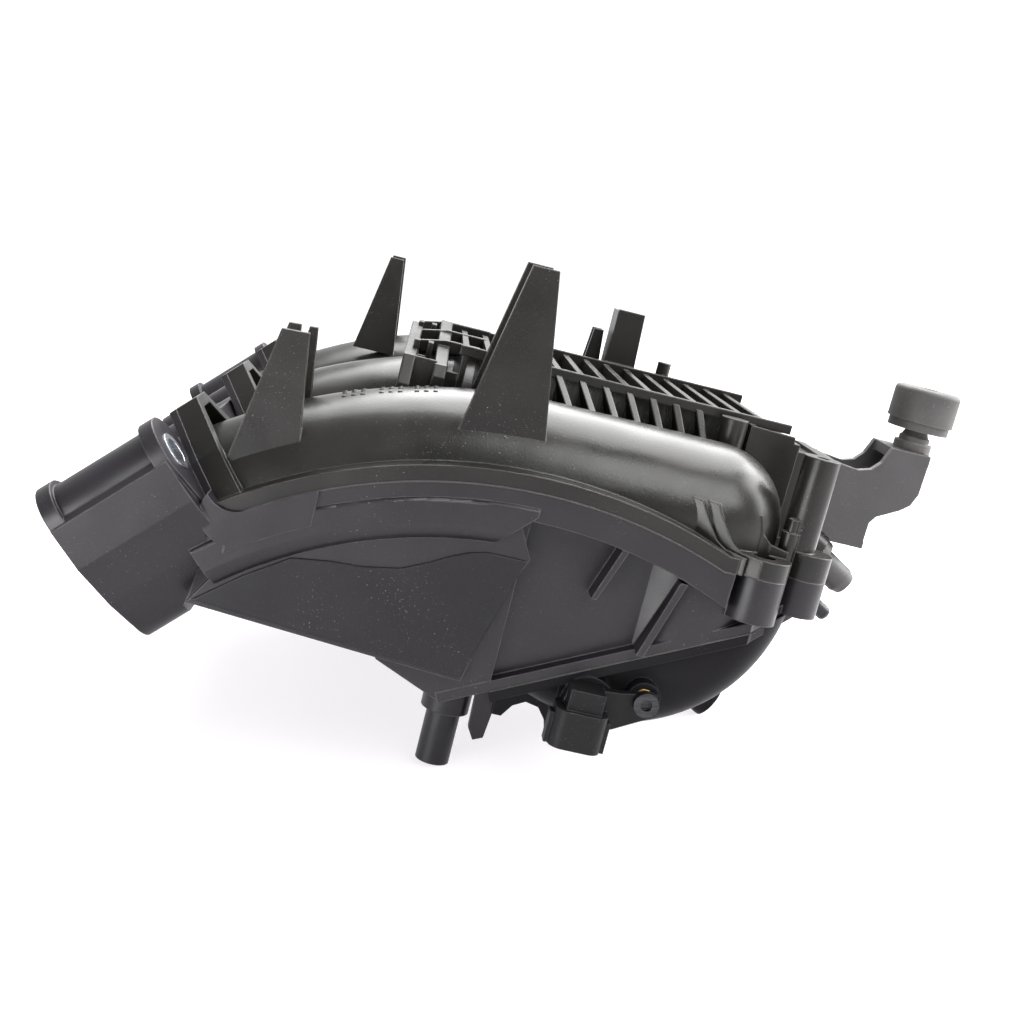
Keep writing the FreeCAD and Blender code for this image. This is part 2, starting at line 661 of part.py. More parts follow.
def middle_shell():
    band = union(
        seam_ring("-seam_under", "0", -112, 41, "seam_half"),
        seam_ring("-seam_deep", "0", -17, 41, "seam_half"),
        seam_ring("-8.8", "0", -97, -75.5, "seam_half + 1.4"),
        rod(-96.5, "-seam_half - 1.4", 64.6, 8.8, "2 * seam_half + 2.8", ALONG_Y),
        box(f"{DECK_START} - 3", "-seam_half", "deck_z - seam_under",
            f"deck_end - {DECK_START} + 3", "2 * seam_half", "seam_under"),
        plate(body_outline(False), "-body_half", "2 * body_half"),
    )
    solid = union(
        overlap(band, outer_plan(0, 130)),
        overlap(plate(body_outline(False), "-shoulder_half", "2 * shoulder_half"),
                box(-100, -HALF_FAR, 0, 83, FAR, FAR)),
        rod("bend_x", "-cylinder_pitch", 52, 25, 40),
        rod("bend_x", "cylinder_pitch", 52, 25, 40),
        cheek("-121"),
        cheek("105"),
        end_gusset("-118", False),
        end_gusset("115.2", True),
        *port_blocks(),
        *[runner_tube(y, RUNNER_OUTER, 70) for y in RUNNERS],
    )
    rim = rim_flange("-62", "-rim_drop", 109.5)
    outside = overlap(union(solid, rim), under_seam())
    above_x, above_z = off_rim("-70", "-rim_drop")
    keep_above = box(above_x, -HALF_FAR, above_z, 160, FAR, 160, RIM)
    head_side = box(-160, -HALF_FAR, -30, 132, FAR, 200)
    outside = overlap(outside, union(keep_above, head_side))
    fittings = [
        *[rod(DECK_BOSS_X, y, 67, DECK_BOSS_RADIUS, "deck_z - 67") for y in DECK_BOSSES],
        rod(NIPPLE_X, NIPPLE_Y, NIPPLE_Z, 4, 8, HOSE_DROP),
        rod(65, -100, 69, 7.4, "deck_z - 69"),
        plate([(27, 74), (29.2, 74), (22.4, 51), (20.2, 51)], "-119.5", 9),
        plate([(9, 79.5), (11, 79.5), (5.4, 64), (3.8, 64)], "-119.5", 9),
        plate([(27, 74), (29.2, 74), (22.4, 51), (20.2, 51)], "110.5", 9),
        rod("foot_x", "-foot_y", "foot_z", "foot_radius", "32 - foot_z"),
        rod("foot_x", "-foot_y", 12, 7.4, 17),
        plate([(-18, 24), (-17.6, 9.5), (-15.4, 5.8), (-12.4, 7.2), (-11.4, 17), (-11.4, 29)], "-91", 2.6),
        rod("throttle_x", "body_half - wall", "throttle_z", "throttle_bore + neck_wall",
            "throttle_face - body_half + wall - 1", ALONG_Y),
        throttle_flange(),
    ]
    inside = overlap(
        overlap(plate(body_outline(True), "-body_half + wall", "2 * (body_half - wall)"),
                inner_plan(0, 130)),
        union(rod("arc_x", -HALF_FAR, "arc_z", "arc_radius - seam_under", FAR, ALONG_Y),
              box(DECK_START, -HALF_FAR, 60, 60, FAR, "deck_z - seam_under - 60")),
    )
    cavity = minus(inside, all_runners(RUNNER_OUTER, 64))
    mouth_x, mouth_z = off_rim("-39", "-rim_drop - 1")
    bowl_mouth = overlap(
        box(mouth_x, "-body_half + wall + 3", mouth_z, 78, "2 * (body_half - wall - 3)", "wall + 2.4", RIM),
        inner_plan(0, 130),
    )
    holes = [
        *[runner_tube(y, "runner_bore", 60) for y in RUNNERS],
        *[port_bore(y) for y in RUNNERS],
        *[seal_groove(y) for y in RUNNERS],
        *[duct_rod("-face_reach - 1", y, axis, "limiter_radius + play", "face_reach + 8")
          for y, axis in HEAD_BOLTS],
        rod("throttle_x", "body_half - wall - 1", "throttle_z", "throttle_bore", 60, ALONG_Y),
        rod("foot_x", "-foot_y", "foot_z - 1", 3.6, "33 - foot_z"),
        *[rod(x, "throttle_face - insert_length", z, "insert_radius + play", 20, ALONG_Y)
          for x, z in throttle_bolt_places()],
        gasket_ring("throttle_face - 2.6", 21.9, 25.4, 3),
        *[rod(DECK_BOSS_X, y, "deck_z - insert_length", "insert_radius + play", 20) for y in DECK_BOSSES],
        rod(NIPPLE_X, NIPPLE_Y, NIPPLE_Z, "nipple_radius + play", 12, HOSE_DROP),
    ]
    return minus(union(outside, *fittings), cavity, bowl_mouth, *holes)


def seal_ring(y, reach, thin, length):
    """An oval ring around a port. Thin narrows it on both sides."""
    outside = oval_bar(reach, y, f"port_wide + 5.2 - {thin}", f"port_tall + 5.2 - {thin}", length)
    inside = oval_bar(f"{reach} - 1", y, f"port_wide + 1.8 + {thin}", f"port_tall + 1.8 + {thin}", length + 2)
    return minus(outside, inside)


def seal_groove(y):
    return seal_ring(y, "-face_reach - 1", 0, 4)


def gasket_ring(y, inner, outer, long):
    return minus(
        rod("throttle_x", y, "throttle_z", outer, long, ALONG_Y),
        rod("throttle_x", f"{y} - 1", "throttle_z", inner, long + 2, ALONG_Y),
    )


def from_throttle(across, up):
    """X and Z of a point given level and plumb, as the manifold stands, from the throttle axis."""
    x = f"throttle_x + ({across}) * cos(stance_angle) - ({up}) * sin(stance_angle)"
    z = f"throttle_z + ({across}) * sin(stance_angle) + ({up}) * cos(stance_angle)"
    return x, z


def throttle_bolt_places():
    half = "throttle_bolts / 2"
    return [from_throttle(f"{right} * {half}", f"{up} * {half}") for right in (-1, 1) for up in (-1, 1)]


def throttle_flange():
    """A square flange that stands level and plumb, with rounded corners."""
    x, z = from_throttle("-flange_side / 2", "-flange_side / 2")
    block = box(x, "throttle_face - flange_thick", z, "flange_side", "flange_thick", "flange_side",
                UPRIGHT_AS_IT_STANDS)
    return rounded(block, "8", lambda edge: abs(edge.Length - value("flange_thick")) < 0.1)


# ---------------------------------------------------------------- lower shell


def bowl(radius, half, soften):
    """The plenum's round bowl with softened ends, as a full drum."""
    drum = rod("bowl_x", f"-({half})", "bowl_z", radius, f"2 * ({half})", ALONG_Y)
    return rounded(drum, soften, lambda edge: abs(edge.Length - 2 * math.pi * value(radius)) < 0.5)


def lower_shell():
    below_x, below_z = off_rim("-80", "-rim_drop - 80")
    below = box(below_x, -HALF_FAR, below_z, 160, FAR, 80, RIM)
    rim = rim_flange("-47.5", "-rim_drop - rim_thick", 95)
    solid = union(
        overlap(bowl("bowl_radius", "body_half", "bowl_round"), below),
        rim,
        rod(42.7, -45, 32, 6.5, 24, BREATHER_DROP),
        rod(42.7, -45, 32, 8, 12, BREATHER_DROP),
        rod(STAY_X, STAY_Y, STAY_SEAT, 8, 20),
        rod("sensor_x", "-sensor_seat", "sensor_z", 8, 9, ALONG_Y),
        rod("sensor_screw_x", "-sensor_seat", "sensor_screw_z", 4.8, 9, ALONG_Y),
        plate([(-12.6, 17.5), (-9.6, 17.5), (-7, 21.4), (-3.4, 23.4), (0.6, 22.6), (3.4, 19),
               (4.4, 15), (6, 15), (6, 34), (-12.6, 30)], "-97.5", 2.4),
    )
    inside = overlap(bowl("bowl_radius - wall", "body_half - wall", "bowl_round - wall"),
                     union(below, box(-100, -HALF_FAR, -FAR, 1, 1, 1)))
    holes = [
        rod(36, -45, 35.5, 4.4, 40, BREATHER_DROP),
        rod(STAY_X, STAY_Y, f"{STAY_SEAT} - 1", "insert_radius + play", "insert_length + 1"),
        rod("sensor_x", "-sensor_seat - 1", "sensor_z", "sensor_bore", 12, ALONG_Y),
        rod("sensor_screw_x", "-sensor_seat - 1", "sensor_screw_z", "screw_insert_radius + play", 7, ALONG_Y),
        rod(NIPPLE_X, NIPPLE_Y, NIPPLE_Z, 4.3, 12, HOSE_DROP),
    ]
    return minus(solid, inside, *holes)


# ---------------------------------------------------------------- fittings


def tube(x, y, z, outer, inner, length, turn=UPRIGHT):
    """A straight sleeve with its low end at x, y, z."""
    return minus(
        rod(x, y, z, outer, length, turn),
        rod(x, y, z, inner, length, turn),
    )


def limiters():
    sleeves = []
    for y, axis in HEAD_BOLTS:
        x, z = along_duct("-face_reach", axis)
        sleeves.append(tube(x, y, z, "limiter_radius", "limiter_bore", "face_reach + limiter_end + 0.3",
                            ALONG_DUCT))
    return union(*sleeves)


def throttle_inserts():
    return union(*[
        tube(x, "throttle_face - insert_length", z, "insert_radius", "insert_bore", "insert_length", ALONG_Y)
        for x, z in throttle_bolt_places()
    ])


def boss_inserts():
    """Brass inserts in the two deck bosses and in the stay boss."""
    inserts = [
        tube(DECK_BOSS_X, y, "deck_z - insert_length", "insert_radius", "insert_bore", "insert_length")
        for y in DECK_BOSSES
    ]
    inserts.append(tube(STAY_X, STAY_Y, STAY_SEAT, "insert_radius", "insert_bore", "insert_length"))
    return union(*inserts)


def cover_bracket():
    """The arm that carries the ball stud: two shaped webs, a flange and a top pad."""
    low, high = 86, 119.5
    outline = [
        ("deck_end", low), (93.1, low), (93.2, 94.6), (94.8, 97), (101.4, 100.6), (104.4, 103),
        (106, 107), (106.3, high), (93.8, high), (91.6, 114.2), (89, 111.4),
        (85, 110.2), ("deck_end", 111.4),
    ]
    web = 2.6
    solid = union(
        plate(outline, "stud_y - bracket_half", web),
        plate(outline, f"stud_y + bracket_half - {web}", web),
        box("deck_end", "stud_y - bracket_half - 3.6", low, 3.4, "2 * bracket_half + 7.2", 25.2),
        box(94, "stud_y - bracket_half", f"{high} - 3.4", 12.3, "2 * bracket_half", 3.4),
        rod("stud_x", "stud_y", 106, 6, "stud_base - 106"),
        box("deck_end", "stud_y - bracket_half", low, 19.4, "2 * bracket_half", 2.4),
    )
    holes = [
        *[rod("deck_end - 1", "stud_y", z, "screw_radius + 0.25", 8, ALONG_X) for z in BRACKET_SCREWS],
        rod("stud_x", "stud_y", "stud_base - insert_length", "insert_radius + play", 20),
    ]
    return minus(solid, *holes)


def small_inserts():
    return union(*[
        tube("deck_end - 7", "stud_y", z, "screw_insert_radius", "screw_radius + play", 7, ALONG_X)
        for z in BRACKET_SCREWS
    ])


def bracket_screws():
    head = 3.6
    screws = []
    for z in BRACKET_SCREWS:
        screw = minus(
            union(rod("deck_end - 5", "stud_y", z, "screw_radius", 9.4, ALONG_X),
                  rod("deck_end + 3.4", "stud_y", z, head, 3, ALONG_X)),
            rod("deck_end + 5", "stud_y", z, 1.6, 3, ALONG_X),
        )
        screws.append(screw)
    return union(*screws)


def ball_stud():
    """A shouldered stud with a ball on its neck."""
    return union(
        rod("stud_x", "stud_y", "stud_base - 8", "insert_bore - play", 9),
        rod("stud_x", "stud_y", "stud_base", 6, 2.6),
        rod("stud_x", "stud_y", "stud_base", 4.9, 4.4),
        cone("stud_x", "stud_y", "stud_base + 4.4", 4.4, 3.1, 3),
        rod("stud_x", "stud_y", "stud_base + 6", 3.1, 7),
        ball("stud_x", "stud_y", "stud_base + 14", 4.9),
    )


def cover_grommet():
    """A rubber cup that snaps over the ball, with a narrower lip below its body."""
    start, body_start, top = 6.6, 9.4, 20
    cup = rounded(
        rod("stud_x", "stud_y", f"stud_base + {body_start}", "grommet_radius", top - body_start),
        "1.6", lambda edge: edge.CenterOfMass.z > value("stud_base") + top - 1)
    solid = union(cup, rod("stud_x", "stud_y", f"stud_base + {start}", "grommet_radius - 0.8", 3.2))
    holes = [
        ball("stud_x", "stud_y", "stud_base + 14", "4.9 + play"),
        rod("stud_x", "stud_y", "stud_base + 5", 3.6, 7),
        rod("stud_x", "stud_y", "stud_base + 17", 3, 6),
    ]
    return minus(solid, *holes)


SHROUD_LOW = 22


def pressure_sensor():
    """A body with a spigot in the bowl, an ear for its screw and a connector that opens downward."""
    def upright(edge):
        return abs(edge.Length - 11) < 0.01
    shroud = rounded(box(1.6, "-sensor_seat - 11", SHROUD_LOW, 15, 12.4, 11), "3.8", upright)
    solid = union(
        shroud,
        box(4.4, "-sensor_seat - 9", 30, 10, 9, 9),
        box(0.4, "-sensor_seat - 7.5", SHROUD_LOW, 1.6, 4.5, 9),
        box(16.2, "-sensor_seat - 7.5", SHROUD_LOW, 1.6, 4.5, 9),
        plate([("sensor_x - 8", 28), ("sensor_x + 8", 28), ("sensor_screw_x + 4", 34.5),
               ("sensor_screw_x + 3", 41), ("sensor_x + 8", 39), ("sensor_x - 6.5", 38)],
              "-sensor_seat - 3", "3"),
        rod("sensor_x", "-sensor_seat - 1", "sensor_z", "sensor_bore - play", 8, ALONG_Y),
    )
    holes = [
        box(3.4, "-sensor_seat - 9", SHROUD_LOW - 1, 11.4, 8.6, 9),
        rod("sensor_screw_x", "-sensor_seat - 4", "sensor_screw_z", "screw_radius + 0.2", 8, ALONG_Y),
        minus(rod("sensor_x", "-sensor_seat + 2.2", "sensor_z", 7, 2.1, ALONG_Y),
              rod("sensor_x", "-sensor_seat + 2.2", "sensor_z", 3.8, 2.1, ALONG_Y)),
        rod("sensor_x", "-sensor_seat + 1", "sensor_z", 1.6, 8, ALONG_Y),
    ]
    return minus(solid, *holes)


def sensor_o_ring():
    return overlap(
        ring("sensor_x", "-sensor_seat + 3.25", "sensor_z", 4.75, 0.8, ALONG_Y),
        rod("sensor_x", "-sensor_seat", "sensor_z", 8, 8, ALONG_Y),
    )


def sensor_terminals():
    pins = [box(x, "-sensor_seat - 5", SHROUD_LOW + 2, 0.8, 0.7, 6) for x in (6.4, 9.2, 12)]
    return union(*pins)


def sensor_screw():
    return minus(
        union(rod("sensor_screw_x", "-sensor_seat - 3", "sensor_screw_z", "screw_radius", 8.5, ALONG_Y),
              rod("sensor_screw_x", "-sensor_seat - 6", "sensor_screw_z", 3.6, 3, ALONG_Y)),
        rod("sensor_screw_x", "-sensor_seat - 7", "sensor_screw_z", 1.6, 2.6, ALONG_Y),
    )


def placed(body, x, y, z, turn):
    """A turned body moved onto its seat."""
    body.Placement = FreeCAD.Placement(V(x, y, z), turn)
    return body


def servo_spigot():
    bore, shank = "servo_radius - 1.5", "servo_radius"
    section = [
        (bore, 0.5), (shank, 0.5), (shank, 8.6), ("servo_radius + 1.9", 8.6), ("servo_radius + 1.9", 11.4),
        (shank, 11.4), (shank, 21.5), (f"{shank} - 0.9", 24), (bore, 24),
    ]
    return placed(turned("brake_servo_spigot", section), SERVO_X, SERVO_Y, SERVO_Z, HOSE_DROP)


def vapour_nipple():
    shank = "nipple_radius"
    section = [
        (1.2, 1), (shank, 1), (shank, 8.2), (f"{shank} + 1.2", 8.2), (f"{shank} + 1.2", 10), (shank, 10),
        (shank, 27.6), (f"{shank} - 0.5", 28.4), (1.2, 28.4),
    ]
    return placed(turned("vapour_nipple", section), NIPPLE_X, NIPPLE_Y, NIPPLE_Z, HOSE_DROP)


piece("upper_shell", upper_shell())
piece("middle_shell", middle_shell())
piece("lower_shell", lower_shell())
piece("head_bolt_limiters", limiters())
for number, y in enumerate(RUNNERS, 1):
    piece(f"port_seal_{number}", seal_ring(y, "-face_reach - 0.4", 0.3, 3.2))
piece("throttle_inserts", throttle_inserts())
piece("throttle_gasket", gasket_ring("throttle_face - 2.5", 22.1, 25.2, 3))
piece("boss_inserts", boss_inserts())
piece("cover_bracket", cover_bracket())
piece("bracket_inserts", small_inserts())
piece("bracket_screws", bracket_screws())
piece("stud_insert", tube("stud_x", "stud_y", "stud_base - insert_length", "insert_radius", "insert_bore",
                          "insert_length"))
piece("cover_ball_stud", ball_stud())
piece("cover_grommet", cover_grommet())
piece("pressure_sensor", pressure_sensor())
piece("sensor_o_ring", sensor_o_ring())
piece("sensor_terminals", sensor_terminals())
piece("sensor_insert", tube("sensor_screw_x", "-sensor_seat", "sensor_screw_z", "screw_insert_radius",
                            "screw_radius + play", 6, ALONG_Y))
piece("sensor_screw", sensor_screw())
piece("brake_servo_spigot", servo_spigot())
piece("vapour_nipple", vapour_nipple())

# ---------------------------------------------------------------- stance, checks and files

doc.recompute()
whole = Part.makeCompound([thing.Shape for thing in PIECES.values()])
whole.Placement = FreeCAD.Placement(V(), STANCE_TURN)
reach = whole.optimalBoundingBox(False, False)
base = V((reach.XMin + reach.XMax) / 2, (reach.YMin + reach.YMax) / 2, reach.ZMin)
STANCE = FreeCAD.Placement(base.negative(), STANCE_TURN)
for thing in PIECES.values():
    thing.Placement = STANCE.multiply(thing.Placement)
doc.recompute()

for thing in doc.Objects:
    if "Invalid" in thing.State or "Error" in thing.State:
        raise RuntimeError(f"{thing.Label} did not rebuild: {thing.State}")
os.makedirs("parts", exist_ok=True)
for label, thing in PIECES.items():
    if thing.Shape.isNull() or not thing.Shape.isValid():
        raise RuntimeError(f"{label} is not a valid solid")
    thing.Shape.exportStep(f"parts/{label}.step")
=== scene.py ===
"""The looks of a welded plastic intake manifold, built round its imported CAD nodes."""
import math

import bmesh
import bpy
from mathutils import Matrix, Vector


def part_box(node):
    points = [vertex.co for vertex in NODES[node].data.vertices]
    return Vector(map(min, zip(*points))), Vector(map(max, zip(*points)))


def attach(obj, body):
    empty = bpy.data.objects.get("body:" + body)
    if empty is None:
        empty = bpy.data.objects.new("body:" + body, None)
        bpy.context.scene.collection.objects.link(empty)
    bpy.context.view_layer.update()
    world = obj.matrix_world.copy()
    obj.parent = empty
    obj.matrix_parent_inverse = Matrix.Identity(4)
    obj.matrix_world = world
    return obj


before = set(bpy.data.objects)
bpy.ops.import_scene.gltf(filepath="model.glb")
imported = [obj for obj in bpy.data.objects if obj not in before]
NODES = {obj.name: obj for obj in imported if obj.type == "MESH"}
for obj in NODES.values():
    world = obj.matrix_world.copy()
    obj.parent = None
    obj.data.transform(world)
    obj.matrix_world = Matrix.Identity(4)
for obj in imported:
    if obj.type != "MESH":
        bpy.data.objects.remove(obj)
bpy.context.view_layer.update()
scene = bpy.context.scene


def middle(node):
    """The middle of a CAD node's box."""
    low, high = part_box(node)
    return (low + high) / 2


THROTTLE = middle("throttle_gasket")
RUNNER_2_Y = middle("head_bolt_limiters").y
STANCE = math.radians(14)

# The part's own sizes in the tilted frame of its runners, in millimetres, with y counted from runner 2.
THROTTLE_X, THROTTLE_Z = -29, 52.5
ARC_X, ARC_Z, ARC_RADIUS = -14.5, -58, 147.5
RUNNER_1_Y, RUNNER_RADIUS = -91, 22
BOWL_X, BOWL_Z = 14, 74
RIM_SLOPE, RIM_DROP = math.radians(26.3), 25.8
DECK_Z = 80


def spot(x, y, z):
    """A place in the tilted frame of the runners, in millimetres, as it stands."""
    across, along, up = (x - THROTTLE_X) / 1000, y / 1000, (z - THROTTLE_Z) / 1000
    return Vector((THROTTLE.x + across * math.cos(STANCE) + up * math.sin(STANCE), RUNNER_2_Y + along,
                   THROTTLE.z - across * math.sin(STANCE) + up * math.cos(STANCE)))


# ---------------------------------------------------------------- materials


class Shader:
    """A Principled material, and short ways to add the nodes that drive it."""

    def __init__(self, name):
        self.material = bpy.data.materials.new(name)
        self.material.use_nodes = True
        self.tree = self.material.node_tree
        self.surface = self.tree.nodes["Principled BSDF"]
        self.place = self.node("ShaderNodeTexCoord").outputs["Object"]

    def node(self, kind, inputs=None, **settings):
        made = self.tree.nodes.new(kind)
        for name, setting in settings.items():
            setattr(made, name, setting)
        for name, given in (inputs or {}).items():
            self.feed(made.inputs[name], given)
        return made

    def feed(self, socket, given):
        if isinstance(given, bpy.types.NodeSocket):
            self.tree.links.new(given, socket)
        else:
            socket.default_value = given

    def noise(self, scale, detail=3.0, rough=0.55, place=None):
        made = self.node("ShaderNodeTexNoise", {
            "Vector": place or self.place, "Scale": scale, "Detail": detail, "Roughness": rough,
        })
        return made.outputs["Fac"]

    def product(self, first, second):
        made = self.node("ShaderNodeMath", operation="MULTIPLY")
        self.feed(made.inputs[0], first)
        self.feed(made.inputs[1], second)
        return made.outputs[0]

    def spread(self, given, low, high, to_low=0.0, to_high=1.0):
        """The value mapped from low..high to to_low..to_high, and held at both ends."""
        made = self.node("ShaderNodeMapRange", {
            "Value": given, "From Min": low, "From Max": high, "To Min": to_low, "To Max": to_high,
        })
        return made.outputs["Result"]

    def mix(self, share, first, second):
        made = self.node("ShaderNodeMix", data_type="RGBA")
        self.feed(made.inputs["Factor"], share)
        self.feed(made.inputs[6], first)
        self.feed(made.inputs[7], second)
        return made.outputs[2]

    def bump(self, height, strength, distance, normal=None):
        inputs = {"Height": height, "Strength": strength, "Distance": distance}
        if normal is not None:
            inputs["Normal"] = normal
        return self.node("ShaderNodeBump", inputs).outputs["Normal"]

    def soft_normal(self, radius):
        """The normal of the surface with its edges rounded."""
        return self.node("ShaderNodeBevel", {"Radius": radius}, samples=6).outputs["Normal"]

    def near_edge(self, soft_normal):
        """How close each point is to an edge, from 0 on a flat face to 1 on the edge."""
        plain = self.node("ShaderNodeNewGeometry").outputs["Normal"]
        turned = self.node("ShaderNodeVectorMath", operation="DOT_PRODUCT")
        self.feed(turned.inputs[0], soft_normal)
        self.feed(turned.inputs[1], plain)
        return self.spread(turned.outputs["Value"], 0.995, 0.8)

    def finish(self, **inputs):
        for name, given in inputs.items():
            self.feed(self.surface.inputs[name.replace("_", " ")], given)
        return self.material


def rgb(red, green, blue):
    """A colour given as it looks on screen, 0 to 255."""
    def linear(level):
        level /= 255
        return level / 12.92 if level <= 0.04045 else ((level + 0.055) / 1.055) ** 2.4
    return (linear(red), linear(green), linear(blue), 1.0)


def moulded(name, dark, light, wear_and_painted_sheen, rough, grain, edge_radius=0.0006, shine=0.5):
    """Glass-filled plastic: cloudy tone, fine grain with a painted sheen on its specks, faint flow marks,
    edges painted paler as part wear and part painted highlight, and specks of dust.
    """
    s = Shader(name)
    cloud = s.noise(22.0, 4.0)
    speck = s.noise(1600.0, 2.0, 0.6)
    tone = s.mix(s.spread(cloud, 0.35, 0.68), dark, light)
    # The specks of the glass-fibre grain are painted paler, as a painted sheen of the fibres.
    tone = s.mix(s.spread(speck, 0.62, 0.82, 0.0, 0.18), tone, wear_and_painted_sheen)
    normal = s.soft_normal(edge_radius)
    patchy = s.spread(s.noise(160.0, 3.0), 0.3, 0.65, 0.25, 0.75)
    # Edges painted paler: part wear, part painted highlight of the edges' small fillets.
    tone = s.mix(s.product(s.near_edge(normal), patchy), tone, wear_and_painted_sheen)
    dull = s.spread(s.noise(45.0, 5.0, 0.65), 0.3, 0.7, rough - 0.06, rough + 0.08)
    flow = s.noise(28.0, 2.0)
    normal = s.bump(flow, 0.35, 0.003, normal)
    normal = s.bump(speck, grain, 0.00012, normal)
    dust = s.spread(s.noise(2600.0, 1.0, 0.4), 0.75, 0.775, 0.0, 0.55)
    dusty = s.product(dust, s.spread(s.noise(35.0, 2.0), 0.5, 0.7))
    tone = s.mix(dusty, tone, rgb(168, 162, 154))
    return s.finish(Base_Color=tone, Roughness=dull, Specular_IOR_Level=shine, Normal=normal)


def rubber(name, dark, light, rough):
    """Matt moulded rubber with a little dust, and edges painted paler as part wear and part painted
    highlight.
    """
    s = Shader(name)
    tone = s.mix(s.spread(s.noise(90.0, 4.0), 0.35, 0.65), dark, light)
    dusty = s.spread(s.noise(900.0, 3.0, 0.7), 0.6, 0.8, 0.0, 0.2)
    tone = s.mix(dusty, tone, rgb(150, 146, 142))
    normal = s.soft_normal(0.0006)
    # Edges painted paler: part wear, part painted highlight.
    tone = s.mix(s.product(s.near_edge(normal), 0.35), tone, rgb(140, 136, 132))
    normal = s.bump(s.noise(700.0, 3.0), 0.25, 0.0002, normal)
    dull = s.spread(s.noise(60.0), 0.3, 0.7, rough - 0.08, rough + 0.08)
    return s.finish(Base_Color=tone, Roughness=dull, Normal=normal)


def metal(name, dark, light, rough, scratch):
    """Plated metal with fine level scratches."""
    s = Shader(name)
    stretched = s.node("ShaderNodeMapping", {"Vector": s.place, "Scale": (1.0, 1.0, 14.0)})
    lines = s.noise(260.0, 4.0, 0.6, stretched.outputs["Vector"])
    tone = s.mix(s.spread(lines, 0.35, 0.7), dark, light)
    normal = s.bump(lines, scratch, 0.0001, s.soft_normal(0.0003))
    dull = s.spread(s.noise(120.0, 3.0), 0.3, 0.7, rough - 0.07, rough + 0.1)
    return s.finish(Base_Color=tone, Metallic=1.0, Roughness=dull, Normal=normal)


UPPER = moulded("upper_plastic", rgb(13, 12, 11), rgb(22, 21, 19), rgb(84, 81, 76), 0.3, 0.25, shine=0.25)
LOWER = moulded("lower_plastic", rgb(13, 11, 15), rgb(22, 20, 24), rgb(84, 78, 85), 0.38, 0.18, shine=0.28)
# The gusset plate's plastic is the lower plastic painted darker, as painted shade of the gusset's lower
# face.
SHADED_GUSSET = moulded("gusset_plastic_painted_shade", rgb(10, 9, 12), rgb(18, 16, 20), rgb(84, 78, 85), 0.42, 0.18, shine=0.21)
# The bowl's plastic is the lower plastic painted darker, as painted shade of a shell that faces down and
# away from the lamps.
SHADED_BOWL = moulded("bowl_plastic_painted_shade", rgb(5, 4, 6), rgb(10, 9, 11), rgb(46, 43, 46), 0.44, 0.2, shine=0.1)
BRACKET = moulded("bracket_plastic", rgb(34, 33, 34), rgb(46, 44, 45), rgb(104, 100, 98), 0.55, 0.45)
STUD = moulded("stud_plastic", rgb(50, 48, 46), rgb(70, 67, 64), rgb(150, 145, 140), 0.5, 0.3)
SENSOR = moulded("sensor_plastic", rgb(7, 7, 8), rgb(13, 13, 14), rgb(60, 60, 64), 0.42, 0.2, 0.0004, 0.14)
GROMMET = rubber("grommet_rubber", rgb(36, 35, 34), rgb(50, 48, 47), 0.62)
# Near-black beads on the weld seams: the seam lines, coloured as painted shade of the seam's groove.
SEAM_SHADE = rubber("weld_seam_painted_shade", rgb(4, 4, 4), rgb(10, 10, 10), 0.7)
SEAL = rubber("seal_rubber", rgb(78, 44, 34), rgb(100, 56, 42), 0.5)
STEEL = metal("zinc_steel", rgb(160, 162, 168), rgb(214, 216, 222), 0.3, 0.06)
DARK_STEEL = metal("black_zinc", rgb(40, 40, 42), rgb(66, 66, 68), 0.4, 0.3)
BRASS = metal("knurled_brass", rgb(160, 128, 66), rgb(206, 172, 104), 0.3, 0.4)

FINISHES = {
    "upper_shell": UPPER, "middle_shell": LOWER, "lower_shell": SHADED_BOWL,
    "head_bolt_limiters": STEEL, "bracket_screws": DARK_STEEL, "sensor_screw": DARK_STEEL,
    "port_seal_1": SEAL, "port_seal_2": SEAL, "port_seal_3": SEAL,
    "throttle_gasket": SEAL, "sensor_o_ring": SEAL,
    "throttle_inserts": BRASS, "boss_inserts": BRASS, "bracket_inserts": BRASS,
    "stud_insert": BRASS, "sensor_insert": BRASS, "sensor_terminals": BRASS,
    "cover_bracket": BRACKET, "cover_ball_stud": STUD, "cover_grommet": GROMMET,
    "pressure_sensor": SENSOR, "brake_servo_spigot": BRACKET, "vapour_nipple": LOWER,
}
for node, material in FINISHES.items():
    NODES[node].data.materials.clear()
    NODES[node].data.materials.append(material)

# ---------------------------------------------------------------- small details on the shells


def add(name, corners, faces, material):
    """A new piece that rides on the shells."""
    mesh = bpy.data.meshes.new(name)
    mesh.from_pydata(corners, [], faces)
    mesh.materials.append(material)
    for face in mesh.polygons:
        face.use_smooth = True
    made = bpy.data.objects.new(name, mesh)
    scene.collection.objects.link(made)
    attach(made, "root")
    return made


def beads(name, paths, radius, material):
    """Thin round beads with closed ends, one along each path, as one piece. The radius is in metres."""
    sides = 8
    corners, faces = [], []
    for path in paths:
        first = len(corners)
        for number, place in enumerate(path):
            before, after = path[max(number - 1, 0)], path[min(number + 1, len(path) - 1)]
            along = (after - before).normalized()
            side = along.cross(Vector((0, 1, 0))).normalized()
            up = side.cross(along)
            for step in range(sides):
                angle = 2 * math.pi * step / sides
                corners.append(place + radius * (math.cos(angle) * side + math.sin(angle) * up))
        for number in range(len(path) - 1):
            here = first + number * sides
            for step in range(sides):
                following = (step + 1) % sides
                faces.append((here + step, here + following, here + sides + following, here + sides + step))
        faces.append(tuple(range(first, first + sides))[::-1])
        faces.append(tuple(range(len(corners) - sides, len(corners))))
    add(name, corners, faces, material)


def slab(outline, near, far):
    """The corners of a plate in the plane of the runners, from y = near to y = far."""
    return [[spot(x, y, z) for x, z in outline] for y in (near, far)]


